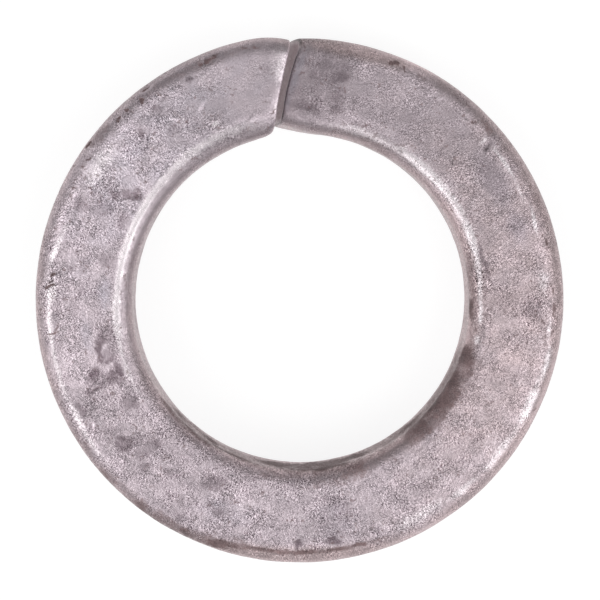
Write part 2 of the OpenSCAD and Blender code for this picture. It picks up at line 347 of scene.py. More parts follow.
# Dull grey patches, and with a minus sign gaps in them
PATCHES = [
    # On the top face and its edges
    (1.0, -1.7, 1.6, 1.0, 0, 0.5),
    (3.0, 0.9, 0.8, 0.9, 0, 0.3),
    (3.4, -1.7, 1.1, 1.2, 0, 0.25),
    (6.5, 0.0, 2.6, 5.0, 0, 0.25),
    (9.5, 0.9, 1.3, 0.8, 0, 0.35),
    (10.3, -0.9, 1.2, 2.0, 0, 0.35),
    (10.5, -1.6, 1.6, 0.8, 0, 0.3),
    (10.5, 1.2, 1.2, 1.5, 0, 0.35),
    (49.8, 1.95, 0.5, 0.9, 0, 0.75),
    (57, 0.8, 3.8, 1.7, 0, 0.4),
    (71, 0.9, 2.4, 1.2, 0, 0.35),
    (74, -2.2, 1.1, 0.55, 0, 0.8),
    (80, -2.1, 1.9, 0.5, 0, 0.8),
    (92, 1.2, 1.7, 1.8, 0, 0.5),
    (171, 0.2, 2.6, 3.4, 0, 0.3),
    (172.5, 1.9, 1.2, 0.6, 0, 1.0),
    (181.3, 2.0, 0.8, 0.5, 0, 1.1),
    (202, 0.7, 1.1, 1.0, 0, 0.7),
    (204.5, 0.3, 0.5, 0.5, 0, 0.6),
    (206, -1.2, 1.9, 1.3, 15, 0.62),
    (210, 2.2, 1.0, 0.8, 0, 0.5),
    (213, 1.2, 2.0, 0.7, 0, 0.3),
    (218, -0.1, 1.7, 0.6, 0, 0.4),
    (224, 0.7, 0.7, 0.9, 0, 0.6),
    (226, -1.1, 1.3, 0.9, 0, 0.4),
    (227, -0.3, 1.1, 2.0, 0, 0.5),
    (231, -0.2, 1.0, 1.1, 0, 0.4),
    (231.7, 0.7, 1.5, 1.1, 0, 0.85),
    (236, 0.9, 1.6, 1.4, 0, 0.3),
    (239, 1.8, 0.9, 0.5, 0, 0.4),
    (240.5, -1.3, 1.3, 1.5, 0, 0.65),
    (245, 2.0, 1.2, 0.6, 0, 0.8),
    (246, 0.9, 1.0, 0.8, 0, 0.4),
    (247.9, 0.75, 0.45, 1.3, 0, 0.72),
    (248.3, 0.0, 0.6, 1.1, 0, 0.55),
    (248.7, -1.25, 1.2, 1.3, 0, 0.72),
    (250.4, -0.5, 0.9, 1.9, -15, 0.55),
    (250.6, -1.65, 1.2, 0.5, 0, 0.61),
    (250.6, 0.45, 1.2, 0.7, -35, 0.65),
    (252.0, -0.05, 0.8, 0.7, -30, 0.58),
    (252.4, -1.1, 0.45, 0.4, 0, -0.8),
    (253.2, -1.5, 1.2, 0.8, 0, 0.65),
    (254.6, -0.95, 1.3, 0.8, 0, 0.61),
    (256.2, -0.8, 1.3, 0.6, 0, 0.5),
    (256.3, -1.5, 0.9, 0.6, 0, 0.5),
    (258.0, -1.3, 0.45, 0.35, 0, -0.8),
    (258.8, -0.9, 1.3, 0.8, 0, 0.55),
    (261.2, -1.35, 2.2, 1.1, -37, 0.6),
    (270, 0.7, 1.5, 0.8, 0, 0.35),
    (273.5, 0.1, 0.8, 0.6, 0, 0.5),
    (279.3, 1.0, 0.5, 0.8, 0, 0.7),
    (280, 0.2, 1.3, 0.6, 0, 0.35),
    (283, -1.3, 1.2, 1.2, 0, 0.5),
    (294.5, 1.6, 1.2, 1.2, 0, 0.6),
    (295, -1.6, 1.2, 0.8, 0, 0.5),
    (296, 0.2, 1.4, 1.4, 0, 0.4),
    (300.8, -0.15, 0.7, 0.9, 0, 0.85),
    (302.5, -1.05, 1.1, 0.8, -50, 0.9),
    (304.0, -1.6, 0.8, 0.8, 0, 0.9),
    (317, 1.1, 0.5, 1.0, 0, 0.75),
    (323.5, 1.5, 1.0, 0.7, 0, 0.65),
    (324.5, -0.3, 1.3, 0.7, 0, 0.35),
    (326.3, 2.0, 0.8, 0.5, 0, 0.5),
    (333, 2.3, 0.6, 0.45, 0, 0.8),
    (351, 1.3, 0.9, 0.6, 0, 0.35),
    # On the walls and the underside
    (20, 9.8, 3.0, 1.8, 10, 0.5),
    (25, 5.7, 2.6, 1.9, 0, 0.5),
    (40, -6.0, 2.4, 1.4, 0, 0.4),
    (48, -9.4, 2.4, 1.6, 0, 0.5),
    (70, 5.8, 3.5, 1.5, 0, 0.45),
    (80, 9.2, 3.4, 1.4, 0, 0.45),
    (105, -9.9, 2.2, 1.6, 20, 0.5),
    (118, 6.0, 2.4, 1.4, 0, 0.5),
    (135, 9.9, 3.0, 1.8, 0, 0.5),
    (160, 5.8, 4.0, 1.8, 0, 0.5),
    (172, -9.2, 3.6, 1.4, 0, 0.5),
    (200, 9.5, 2.4, 2.0, 0, 0.55),
    (204, 6.2, 2.2, 1.6, 0, 0.5),
    (232, -9.8, 3.0, 1.6, -15, 0.5),
    (248, 5.8, 3.0, 1.8, 0, 0.45),
    (262, 9.3, 2.4, 1.4, 0, 0.5),
    (265, -6.2, 2.4, 1.2, 0, 0.4),
    (290, -9.5, 2.6, 1.8, 0, 0.5),
    (292, 6.0, 2.6, 1.6, 0, 0.5),
    (300, -6.0, 2.0, 1.4, 0, 0.4),
    (318, 9.8, 3.0, 1.6, 0, 0.5),
    (330, 5.8, 3.4, 1.6, 0, 0.45),
    (340, -6.3, 2.0, 1.0, 0, 0.4),
    (342, -9.6, 2.0, 1.4, 0, 0.45),
]

# Polished high edges: smoother, and paler in colour as a painted highlight where they catch the side lights
POLISH_AND_HIGHLIGHT = [
    (25, -2.62, 8.5, 0.8, 0, 0.62),
    (42, -2.6, 3.6, 0.75, 0, 0.8),
    (48.3, 1.95, 0.35, 0.9, 0, 0.7),
    (55.5, 2.2, 2.8, 0.3, 0, 1.2),
    (57, -2.5, 7.0, 0.75, 0, 0.85),
    (63, 2.1, 1.6, 0.3, 0, 0.5),
    (69.5, -2.6, 2.4, 0.65, 0, 0.7),
    (70.5, 2.25, 2.2, 0.35, -8, 1.0),
    (79, -2.65, 3.0, 0.5, 0, 0.8),
    (85, 2.0, 1.8, 0.9, 0, 0.6),
    (87, -2.8, 2.0, 0.5, 0, 0.6),
    (94, -2.7, 1.8, 0.4, 0, 0.9),
    (96, 2.5, 2.2, 0.4, 0, 0.7),
    (102.3, -2.7, 0.8, 0.5, 0, 0.8),
    (103.5, 2.8, 2.6, 0.55, 0, 0.9),
    (114, 2.6, 4.4, 0.8, 0, 0.95),
    (127.5, 2.5, 4.0, 0.7, 0, 0.8),
    (139.5, 2.4, 2.8, 0.6, 0, 0.8),
    (151, 2.15, 4.0, 1.0, 0, 0.65),
    (236, 2.6, 4.0, 0.45, 0, 0.7),
    (244, 2.5, 2.4, 0.6, 0, 0.75),
    (250, -2.25, 5.0, 0.4, 0, 0.6),
    (251, 2.6, 2.6, 0.5, 0, 0.5),
    (259, 2.55, 4.0, 0.4, 0, 0.85),
    (266, -2.35, 4.0, 0.7, 0, 0.8),
    (267, 2.5, 3.0, 0.5, 0, 0.75),
    (273.5, 2.3, 2.2, 0.8, 0, 0.75),
    (283, 2.4, 3.4, 0.5, -10, 0.9),
    (284, -2.45, 7.0, 0.65, 0, 1.0),
    (299, -2.45, 4.0, 0.65, 0, 0.9),
    (305, 1.9, 3.4, 1.6, 0, 0.7),
    (311, -2.4, 4.0, 0.7, 0, 0.75),
    (323, -2.3, 4.0, 0.8, 0, 0.6),
    (334.5, -1.4, 0.6, 0.35, 0, 1.0),
    (335, -2.35, 5.0, 0.8, 0, 0.65),
    (352.6, -1.4, 1.6, 0.4, 72, 0.5),
    (353.8, 1.9, 2.6, 1.3, 72, 0.42),
    (354.6, 1.3, 3.2, 0.6, 72, 0.35),
]

# Thin scratches, bright with painted glints where they catch the light, and with a minus sign cracks, dark
SCRATCHES_AND_GLINTS = [
    (4, 0.9, 0.18, 0.6, 0, 1.08),
    (4.4, 2.1, 0.16, 0.5, 0, 0.8),
    (5.0, -1.3, 0.16, 0.5, 0, 0.9),
    (5.5, -0.7, 0.18, 0.5, 0, 0.94),
    (6.2, -0.5, 0.16, 0.7, 0, 1.0),
    (7.6, 2.0, 0.16, 0.6, 0, 0.8),
    (8.6, -1.0, 0.16, 0.5, 0, 0.8),
    (9.2, 1.6, 0.16, 0.5, 0, 0.8),
    (12.8, 1.3, 0.16, 0.6, 0, 0.8),
    (14.2, -0.45, 0.5, 0.2, -60, -0.9),
    (14.8, 1.9, 0.16, 0.6, 0, 0.8),
    (26, 1.1, 1.6, 0.15, -30, 0.6),
    (29, 2.2, 2.0, 0.18, 0, -1.08),
    (33, -2.6, 1.1, 0.18, 0, -1.22),
    (36, -0.8, 1.1, 0.15, -48, 0.6),
    (41, 2.2, 1.6, 0.18, 0, -1.08),
    (47.2, -0.8, 0.5, 0.25, -40, -1.0),
    (49.2, 2.35, 0.6, 0.15, 20, -0.7),
    (50.3, 1.9, 0.25, 0.9, 8, -0.6),
    (53.7, -1.3, 0.18, 0.6, 0, -0.9),
    (97, 0.7, 0.18, 0.5, 0, -1.08),
    (101.5, 1.2, 0.18, 0.9, 0, -1.08),
    (126, 0.8, 1.2, 0.18, 0, -0.94),
    (128.5, 0.75, 1.6, 0.15, -4, 0.5),
    (134, 1.3, 0.9, 0.16, 30, -0.6),
    (140.5, 1.25, 0.9, 0.15, 5, 0.9),
    (141, -2.2, 1.4, 0.14, 6, 1.0),
    (145.5, -2.05, 1.2, 0.14, -4, 1.1),
    (155.5, -0.8, 0.4, 0.15, 60, -0.7),
    (164, -3.4, 0.6, 0.18, 20, -1.35),
    (166, 2.85, 1.6, 0.16, 3, 1.0),
    (171, -1.1, 0.7, 0.16, 80, -0.7),
    (172, 2.95, 2.0, 0.16, -3, 1.0),
    (172.5, -0.6, 0.9, 0.16, 75, -0.8),
    (174, -0.1, 0.7, 0.16, 70, -0.7),
    (179, 2.8, 1.8, 0.16, 4, 1.0),
    (185, 2.95, 2.2, 0.16, 0, 1.0),
    (191, 2.85, 1.8, 0.16, -3, 1.0),
    (239.3, 1.9, 1.0, 0.18, -40, 1.2),
    (239.5, 1.9, 0.9, 0.18, -35, 1.22),
    (262, 1.1, 3.2, 0.18, 8, 0.73),
    (268, 2.7, 0.8, 0.14, -55, 1.0),
    (270, 1.5, 1.4, 0.18, 12, 0.65),
    (271, 2.5, 0.8, 0.14, -55, 1.0),
    (271.5, 0.75, 1.2, 0.18, 14, 0.6),
    (275.5, 0.9, 2.0, 0.18, 14, 0.73),
    (278, 1.75, 1.4, 0.18, 0, -0.94),
    (278.5, 1.1, 2.2, 0.18, 12, 0.66),
    (280.5, 3.0, 1.2, 0.18, -25, 1.22),
    (282.5, 2.6, 0.8, 0.14, -40, 1.0),
    (284.5, 1.35, 2.6, 0.18, 6, 0.65),
    (285, 2.8, 0.9, 0.18, -35, 1.22),
    (287.5, 2.45, 0.8, 0.14, -35, 1.0),
    (290, 2.7, 0.9, 0.18, -30, 1.22),
    (293, 1.8, 3.0, 0.18, 5, -0.94),
    (295.5, 2.5, 0.9, 0.14, -30, 1.0),
    (298, -1.3, 1.2, 0.18, 8, -0.94),
    (301, -1.0, 1.0, 0.18, -50, -1.22),
    (312, -2.05, 1.6, 0.18, 0, -0.94),
    (325.5, 0.3, 1.1, 0.18, -52, 1.08),
    (325.8, 0.2, 0.9, 0.18, -52, 1.0),
    (332.5, 0.1, 0.9, 0.18, 35, 1.1),
    (333.3, 0.1, 0.9, 0.18, 35, 1.22),
    (334, 2.25, 1.4, 0.18, -8, -1.08),
    (340, -2.05, 1.4, 0.18, 2, -0.5),
    (341, -2.1, 1.2, 0.18, 4, -0.8),
    (344.5, -1.85, 0.8, 0.18, 30, -1.22),
]

# Pits and dents: the strength is their depth in hundredths of a millimetre, and with a minus sign the
# height of a lump
PITS = [
    (2.4, 2.45, 1.0, 0.9, 0, -3),
    (20.9, 2.95, 1.1, 0.5, 0, 6),
    (22.5, 2.75, 0.4, 0.5, 0, 5),
    (49.6, 1.9, 0.6, 0.9, 0, 3.5),
    (92, 1.2, 1.4, 1.4, 0, 3),
    (172.5, 1.9, 0.9, 0.5, 0, 4),
    (181.3, 2.0, 0.8, 0.5, 0, 5),
    (200.5, 3.1, 0.6, 0.35, 0, 12),
    (262.8, 2.35, 1.0, 0.18, -62, 6),
    (274.5, 2.35, 0.7, 0.2, -60, 7),
    (277.3, 2.35, 0.6, 0.2, -60, 7),
    (303.4, -1.4, 1.1, 0.5, -50, 4),
    (307.0, 3.5, 0.5, 0.4, 0, 8),
    (315.7, 3.1, 0.45, 0.45, 0, 10),
    (318.1, 2.95, 0.6, 0.3, 0, 5),
    (322, 2.9, 0.45, 0.4, 0, 10),
    (324.4, 3.5, 1.0, 0.5, 0, 8),
    (339, 2.9, 1.5, 0.25, 5, 5),
    (341, -2.1, 1.2, 0.2, 4, 1.5),
]

# Warmer zinc, and with a minus sign bluer
WARMTH = [
    (12, 3.2, 8.0, 1.8, 0, 1.2),
    (57, 0.8, 3.8, 1.7, 0, -0.7),
    (71, 0.9, 2.4, 1.2, 0, -0.7),
    (95, 0.0, 34, 12, 0, 0.85),
    (150, -5.5, 26.0, 3.4, 0, 1.5),
    (171, 0.2, 3.4, 3.6, 0, -0.5),
    (182, 3.2, 13.0, 2.2, 0, 1.4),
    (200, 0.5, 5.0, 2.0, 10, -0.5),
    (262, 0.0, 2.5, 1.0, 0, -0.5),
    (273, -1.5, 3.0, 1.0, 0, -0.6),
    (315, 0.0, 22, 10, 0, -0.5),
    (357.6, 0.0, 7.0, 0.8, 72, -0.8),
]

# Lighter zinc, and with a minus sign darker: partly the coat's own uneven tone, partly painted highlight and
# shade on the edges' rounded arcs and beside the cut
TONES_AND_PAINTED_LIGHT = [
    (0, -3.4, 8.0, 0.9, 0, -0.2),
    (0, -1.85, 4.0, 0.45, 0, -0.7),
    (0, 3.4, 2.6, 0.8, 0, -1.0),
    (0, 3.95, 3.5, 0.8, 0, -1.8),
    (2, 2.9, 3.0, 0.4, 0, 1.5),
    (3, 1.9, 3.0, 1.0, 0, -1.0),
    (3, 3.2, 3.0, 0.6, 0, 1.4),
    (3, 3.3, 4.0, 1.0, 0, -1.6),
    (5, 4.8, 7.0, 1.4, 0, -1.5),
    (6.0, 0.0, 3.4, 8.0, 0, -0.4),
    (10, 2.4, 5.0, 0.5, 0, -1.5),
    (14, -3.6, 4.0, 0.5, 0, 1.0),
    (14, 3.08, 8.0, 0.45, 0, 2.2),
    (19, -2.05, 8.0, 0.8, 0, 1.4),
    (20, -4.2, 8.0, 1.0, 0, 0.3),
    (20, -2.95, 24, 0.35, 0, -1.2),
    (20, -1.6, 9.0, 0.5, 0, 0.8),
    (24, 3.9, 4.0, 0.7, 0, 1.5),
    (25, 3.05, 4.0, 0.4, 0, 1.2),
    (26, 3.1, 2.6, 0.5, 0, 1.5),
    (27, 1.2, 6.0, 2.4, 0, 0.6),
    (27, 3.9, 3.0, 0.6, 0, 1.5),
    (28, 2.75, 14, 1.3, 0, 0.9),
    (33, -3.3, 7.0, 0.35, 0, 1.2),
    (35, 3.4, 3.0, 0.5, 0, -1.4),
    (36, 0.0, 25, 14, 0, -0.6),
    (45, -2.2, 5.0, 0.5, 0, 1.0),
    (45, 2.2, 3.0, 0.4, 0, 1.0),
    (47, -2.95, 3.0, 0.35, 0, 0.6),
    (55, -3.65, 10, 0.5, 0, 1.4),
    (58, 3.15, 7.0, 0.8, 0, 0.8),
    (60, 2.1, 5.0, 0.5, 0, 0.8),
    (61, -3.1, 10.0, 0.32, 0, 3.2),
    (61, -2.5, 7.0, 0.4, 0, 0.6),
    (64, -3.3, 4.0, 0.5, 0, 1.0),
    (74, 0.0, 3.0, 3.6, 0, 0.9),
    (75, -3.1, 3.6, 0.5, 0, -1.5),
    (77, -2.9, 4.0, 0.5, 0, -1.5),
    (80, 2.2, 5.0, 0.5, 0, 1.1),
    (90, -3.7, 6.0, 0.5, 0, 1.0),
    (94, 2.75, 3.5, 0.6, 0, 0.3),
    (95, -3.4, 5.0, 0.6, 0, 0.7),
    (95, 1.0, 4.0, 2.0, 0, 0.6),
    (95, 3.8, 6.0, 1.2, 0, 0.5),
    (97, 2.7, 2.6, 0.5, 0, 0.2),
    (98, -2.35, 6.0, 0.35, 0, -1.0),
    (103, 2.75, 3.6, 0.35, 0, -0.8),
    (104, -3.3, 3.0, 0.5, 0, 0.8),
    (104, 2.2, 3.0, 0.4, 0, 1.5),
    (105, -2.7, 3.6, 0.6, 0, -1.6),
    (106, 0.3, 2.6, 3.0, 0, 0.8),
    (107, 2.55, 2.4, 0.35, 0, -2.0),
    (112, -3.3, 7.0, 1.0, 0, 1.0),
    (113, -3.05, 3.6, 0.6, 0, 1.2),
    (115, 2.0, 3.4, 0.6, 0, 1.4),
    (115, 3.5, 10.0, 0.6, 0, 0.9),
    (117, 3.35, 13, 1.9, 0, 1.1),
    (118, 3.3, 5.0, 0.5, 0, 1.0),
    (120, 2.52, 6.0, 0.35, 0, -1.0),
    (133, 0.3, 10, 1.6, 0, -0.45),
    (134, 2.86, 11.0, 0.35, 0, 1.5),
    (135, 1.7, 12.0, 0.8, 0, 1.0),
    (145, -2.1, 7.0, 0.5, 0, -1.4),
    (145, 3.0, 5.0, 0.5, 0, 0.9),
    (150, 3.5, 8.0, 0.6, 0, 0.9),
    (151, 3.4, 5.0, 1.6, 0, 0.8),
    (154, 1.35, 3.6, 1.2, 0, 1.1),
    (154, 3.25, 4.0, 0.5, 0, 1.6),
    (155, -2.2, 3.5, 0.5, 0, 0.9),
    (155, -0.8, 3.0, 1.6, 0, 0.9),
    (176, -3.85, 9, 0.4, 0, -0.8),
    (176, -2.6, 4.0, 0.6, 0, -1.4),
    (177, 2.3, 5.0, 0.5, 0, -0.8),
    (178, 2.1, 4.0, 0.4, 0, 1.3),
    (180, 3.4, 9.0, 0.8, 0, 1.4),
    (185, 3.3, 9.0, 0.5, 0, -1.5),
    (186, 2.85, 7.0, 0.35, 0, -1.4),
    (194, -3.3, 9.0, 0.8, 0, 1.8),
    (195, -1.0, 3.0, 1.6, 0, 0.9),
    (204, 1.4, 3.0, 0.8, 0, 0.8),
    (222, -4.3, 5.0, 0.9, 0, -1.0),
    (226, 3.4, 4.0, 0.5, 0, 1.6),
    (235, 2.6, 3.0, 0.35, 0, -1.0),
    (236, -3.4, 3.0, 0.4, 0, 1.5),
    (236, -2.2, 4.0, 0.35, 0, 1.8),
    (236, 2.35, 4.0, 0.35, 0, 1.1),
    (243, 1.4, 3.6, 0.9, 0, -1.1),
    (245, 3.8, 6.0, 1.2, 0, 1.0),
    (251, 2.4, 3.0, 0.5, 0, -0.7),
    (252, 0.9, 3.6, 5.0, 0, 1.0),
    (255, 1.2, 3.0, 1.6, 0, 1.0),
    (256, -1.0, 4.0, 2.0, 0, 1.0),
    (256, 2.6, 4.0, 0.5, 0, -1.6),
    (256, 3.1, 4.0, 0.5, 0, 1.5),
    (265, -3.3, 6.0, 0.4, 0, 1.3),
    (265, 0.8, 3.2, 1.6, 0, 1.4),
    (268, 3.5, 8.0, 1.8, 0, 0.9),
    (272, -0.5, 7, 5, 0, 0.2),
    (274, 1.4, 3.4, 1.6, 0, -0.5),
    (285, -2.3, 6.0, 0.3, 0, 1.2),
    (286, -2.65, 5.0, 0.35, 0, 1.1),
    (291, 2.6, 4.0, 0.5, 0, 0.8),
    (292, -2.75, 24, 0.25, 0, -0.8),
    (295, 2.4, 3.0, 0.4, 0, 1.6),
    (296, 3.3, 4.0, 0.5, 0, 1.0),
    (298, 0.0, 11, 7, 0, 1.0),
    (300, 3.4, 8.0, 1.6, 0, 0.8),
    (300, 4.5, 40, 1.2, 0, -0.6),
    (303, -1.4, 3.4, 1.4, 0, 0.9),
    (304, 2.6, 5.0, 0.8, 0, 0.8),
    (305, -3.1, 20, 0.35, 0, 0.9),
    (305, 2.95, 3.0, 0.4, 0, 1.0),
    (306, 3.0, 3.0, 0.5, 0, 1.6),
    (312, 1.4, 3.6, 2.0, 0, 0.9),
    (314, -1.4, 3.4, 1.4, 0, 0.9),
    (316, 0.6, 6.0, 3.4, 0, 0.5),
    (316, 2.2, 3.0, 0.5, 0, 1.2),
    (316, 3.36, 3.0, 0.5, 0, 1.6),
    (325, -1.9, 9.0, 0.9, 0, 0.7),
    (325, 0.2, 3.4, 2.6, 0, -0.8),
    (328, 3.9, 6.0, 0.6, 0, -1.0),
    (330, 1.5, 8, 4, 0, 0.3),
    (332, -1.2, 6.0, 3.5, 0, -0.5),
    (339, -2.4, 4.0, 0.4, 0, -0.9),
    (340, -2.65, 8, 0.5, 0, -1.5),
    (345, -2.0, 4.5, 0.6, 0, 1.6),
    (345, 2.86, 3.6, 0.5, 0, 1.2),
    (350, -3.3, 4.0, 0.7, 0, -1.0),
    (350, 0.0, 8.0, 7.0, 0, 0.6),
    (352, -2.2, 3.0, 0.8, 0, 0.7),
    (353, 0.3, 3.0, 7.0, 0, 0.5),
]

# Stronger grain, and with a minus sign weaker
GRAIN = [
    (5.5, -0.9, 1.2, 2.2, 0, 0.17),
    (14.5, 1.6, 1.8, 1.4, 0, 0.17),
    (36, 0.0, 26, 12, 0, -0.36),
    (53, -1.2, 2.5, 2.0, 0, 0.1),
    (60, -2.7, 12, 1.2, 0, 0.2),
    (66, 0.0, 16, 12, 0, 0.08),
    (80, -2.8, 6, 1.2, 0, 0.4),
    (86, 1.9, 2.6, 1.8, 0, 0.35),
    (95, 0.9, 3.6, 2.4, 0, 0.25),
    (112, 0.0, 20, 12, 0, -0.18),
    (148, -3.0, 4.5, 1.4, 0, -0.5),
    (153, 1.9, 4.0, 1.8, 0, 0.25),
    (173, -0.6, 3.6, 4.0, 0, 0.2),
    (190, 1.2, 4.0, 3.0, 0, 0.2),
    (204, -1.2, 3.0, 1.4, 0, 0.2),
    (213, 1.9, 3.0, 1.4, 0, 0.25),
    (258, 1.0, 3.6, 2.0, 0, 0.2),
    (274, 2.6, 6.0, 1.4, 0, 0.4),
    (285, -2.9, 16, 1.6, 0, -0.7),
    (287, 0.8, 3.0, 2.0, 0, 0.3),
    (305, 1.5, 4.0, 2.6, 0, 0.25),
    (308, -2.9, 7, 1.6, 0, -0.5),
    (317, 0.5, 3.6, 4.0, 0, 0.15),
    (333.5, -1.4, 1.2, 0.8, 0, 0.4),
    (345, 0.0, 11, 12, 0, -0.4),
    (357.8, 0.0, 7.0, 0.7, 72, -0.2),
]

# Where the coat is pitted with small dark specks
PITTED = [
    (22, -2.4, 6.0, 0.5, 0, 0.9),
    (60, -1.2, 5.0, 2.4, 0, 0.5),
    (84, -2.3, 5.0, 0.9, 0, 0.9),
    (87, 2.2, 3.4, 1.2, 0, 0.8),
    (95, 0.8, 5.5, 3.4, 0, 1.0),
    (120, -1.9, 9.0, 0.8, 0, 0.5),
    (183, -3.0, 6.0, 1.0, 0, 0.6),
    (218, 2.6, 5.0, 1.0, 0, 0.5),
    (300, 2.6, 5.0, 1.2, 0, 0.8),
]

# Where the grain is drawn out into strokes: their lean from along the ring, and how long they are
STROKES = [
    (57, -3.0, 8.0, 0.9, 0, 1.2),
    (151, 1.8, 3.6, 1.8, 80, 0.7),
    (186, 0.5, 4.0, 5.0, 60, 0.7),
    (203, 1.8, 3.0, 2.0, 88, 0.8),
    (213, 1.5, 2.4, 3.0, 100, 1.0),
    (257, 0.8, 4.0, 4.5, 15, 1.0),
    (266, 2.7, 6.0, 1.4, -60, 1.6),
    (279, -0.8, 3.0, 2.8, -45, 0.9),
    (281, 3.0, 5.0, 1.6, -35, 2.0),
    (284, -2.9, 10.0, 0.9, 5, 1.5),
    (287, 0.4, 3.2, 3.0, 48, 1.3),
    (297, 2.4, 4.0, 1.4, -30, 1.2),
    (308, 2.0, 2.4, 1.8, 85, 1.0),
]


# Place across, in millimetres, past which a mark counts as on a wall and takes about the wall's radius
FACE_END = 3.5


def mark_field(bearing, across, marks, sharpness=1.5, power=2):
    """Sum of marks at each surface point: the sharper, the crisper, and the higher the power, the squarer."""
    total = np.zeros(bearing.shape)
    for turn, place, long, wide, lean, strength in marks:
        gap = (bearing - turn + 180) % 360 - 180
        ahead = np.radians(gap) * (MID_R / MM + np.clip(place, -FACE_END, FACE_END))
        up = across - place
        c, s = math.cos(math.radians(lean)), math.sin(math.radians(lean))
        u = (ahead * c + up * s) / (long / 2)
        v = (up * c - ahead * s) / (wide / 2)
        total += strength * np.exp(-(abs(u) ** power + abs(v) ** power) ** sharpness)
    return total


# Size of the bends in a ragged outline and how far they reach in millimetres, coarse and fine
RAG_SIZE, RAG = 0.9 * MM, 0.30
FRAY_SIZE, FRAY = 0.3 * MM, 0.10


def ragged(points, bearing, across):
    """Bearings and places across moved a little this way and that, so that marks get ragged outlines."""
    sway, lift = (
        noise_field(points, RAG_SIZE, seed, 3) * RAG + noise_field(points, FRAY_SIZE, seed + 2) * FRAY
        for seed in (11, 12)
    )
    return bearing + np.degrees(sway * MM / MID_R), across + lift


# ---------------------------------------------------------------- relief of the zinc coat

# How far each seed moves the noise
SEED_STEP = (17.3, 5.9, 11.1)
# How much weaker and how much finer each octave of the noise is than the last
NOISE_FALL, NOISE_FINER = 0.8, 2.0


def noise_field(points, size, seed, octaves=2):
    """Smooth noise from about -1 to 1, with features about size across."""
    offset = Vector([seed * step for step in SEED_STEP])
    flat = points.reshape(-1, 3) / size
    out = [noise.fractal(Vector(p) + offset, NOISE_FALL, NOISE_FINER, octaves) for p in flat.tolist()]
    return np.array(out).reshape(points.shape[:-1])


# Size, seed and reach of the coat's waves, lumps and pebbles
RELIEF = [(4.0 * MM, 1, 0.020 * MM), (1.2 * MM, 2, 0.010 * MM), (0.45 * MM, 3, 0.005 * MM)]
# Depth of the coat's middle level below the CAD's surface
RELIEF_DEPTH = 0.022 * MM
# Depth of a pit of strength 1
PIT_UNIT = 0.01 * MM


def relief(points, pits):
    """Height of the coat over the CAD's surface, in metres: waves at or below it, then pits and lumps."""
    depth = sum(noise_field(points, size, seed) * reach for size, seed, reach in RELIEF) - RELIEF_DEPTH
    return np.minimum(depth, 0) - pits * PIT_UNIT


# ---------------------------------------------------------------- mesh

def wire_mesh(points):
    """Vertices and faces of the closed wire, with its two cut faces as shrinking rings."""
    stations, n = points.shape[:2]
    verts = [points.reshape(-1, 3)]
    faces = []
    ring = np.arange(n)
    for j in range(stations - 1):
        a, b = j * n + ring, j * n + np.roll(ring, -1)
        faces += np.stack([a, b, b + n, a + n], -1).tolist()
    count = stations * n
    for edge, first, flip in ((points[0], 0, False), (points[-1], (stations - 1) * n, True)):
        middle = edge.mean(0)
        outer = first + ring
        for k in range(1, CAP_RINGS):
            verts.append(middle + (edge - middle) * (1 - k / CAP_RINGS))
            inner = count + ring
            count += n
            quads = np.stack([outer, inner, np.roll(inner, -1), np.roll(outer, -1)], -1)
            faces += (quads[:, ::-1] if flip else quads).tolist()
            outer = inner
        verts.append(middle[None])
        fan = np.stack([outer, np.full(n, count), np.roll(outer, -1)], -1)
        faces += (fan[:, ::-1] if flip else fan).tolist()
        count += 1
    return np.vstack(verts), faces


def add_values(mesh, name, grid, cap_value=0):
    """A number at each vertex: the grid's own on the wire, and one value on the cut faces."""
    values = np.full(len(mesh.vertices), float(cap_value))
    values[:grid.size] = grid.ravel()
    mesh.attributes.new(name, "FLOAT", "POINT").data.foreach_set("value", values)


def painted_cut_lines(stations):
    """A number that fades inwards from each cut: 1 at the low end's outline, for a painted shadow, and -1 at
    the raised end's, for a painted highlight.
    """
    near = np.exp(-(end_stations()[0] / PAINTED_CUT_LINE_L) ** 2)
    out = np.zeros((stations, 1))
    out[:len(near)] = near
    out[-len(near):] = -near[::-1]
    return out


# How far the grain is drawn out everywhere, the distance over which its direction wanders, and the most
# that it turns, in radians
SWIRL, SWIRL_SIZE, SWIRL_TURN = 0.35, 1.6 * MM, 5.0


def stroke_field(points, bearing, across):
    """The way and length that the grain is drawn out at each surface point."""
    ahead = np.gradient(points, axis=0)
    up = np.roll(points, 1, axis=1) - np.roll(points, -1, axis=1)
    ahead, up = (v / np.linalg.norm(v, axis=-1, keepdims=True) for v in (ahead, up))
    turn = noise_field(points, SWIRL_SIZE, 21)[..., None] * SWIRL_TURN
    way = (ahead * np.cos(turn) + up * np.sin(turn)) * SWIRL
    for turn, place, long, wide, lean, strength in STROKES:
        share = mark_field(bearing, across, [(turn, place, long, wide, 0, strength)])[..., None]
        way += share * (ahead * math.cos(math.radians(lean)) + up * math.sin(math.radians(lean)))
    return way


# How crisp the outlines of stains and patches are
CRISP = 3.5
# Size of the waves in a band's outline, and how far they reach in millimetres
BAND_WAVE, BAND_SWAY = 0.5 * MM, 0.08
# Marks with soft outlines, by the name that the material reads
SOFT_MARKS = {
    "polish_and_highlight": POLISH_AND_HIGHLIGHT,
    "line": SCRATCHES_AND_GLINTS,
    "warmth": WARMTH,
    "tone_and_painted_light": TONES_AND_PAINTED_LIGHT,
    "grain": GRAIN,
    "pitted": PITTED,
}
# Places across, in millimetres, where the warmer edges and the underside begin, and how far they take
EDGE_FROM, UNDER_FROM, EDGE_L = 2.4, 7.0, 1.5
# How much of the warmth the underside lacks
UNDER_FADE = 0.7


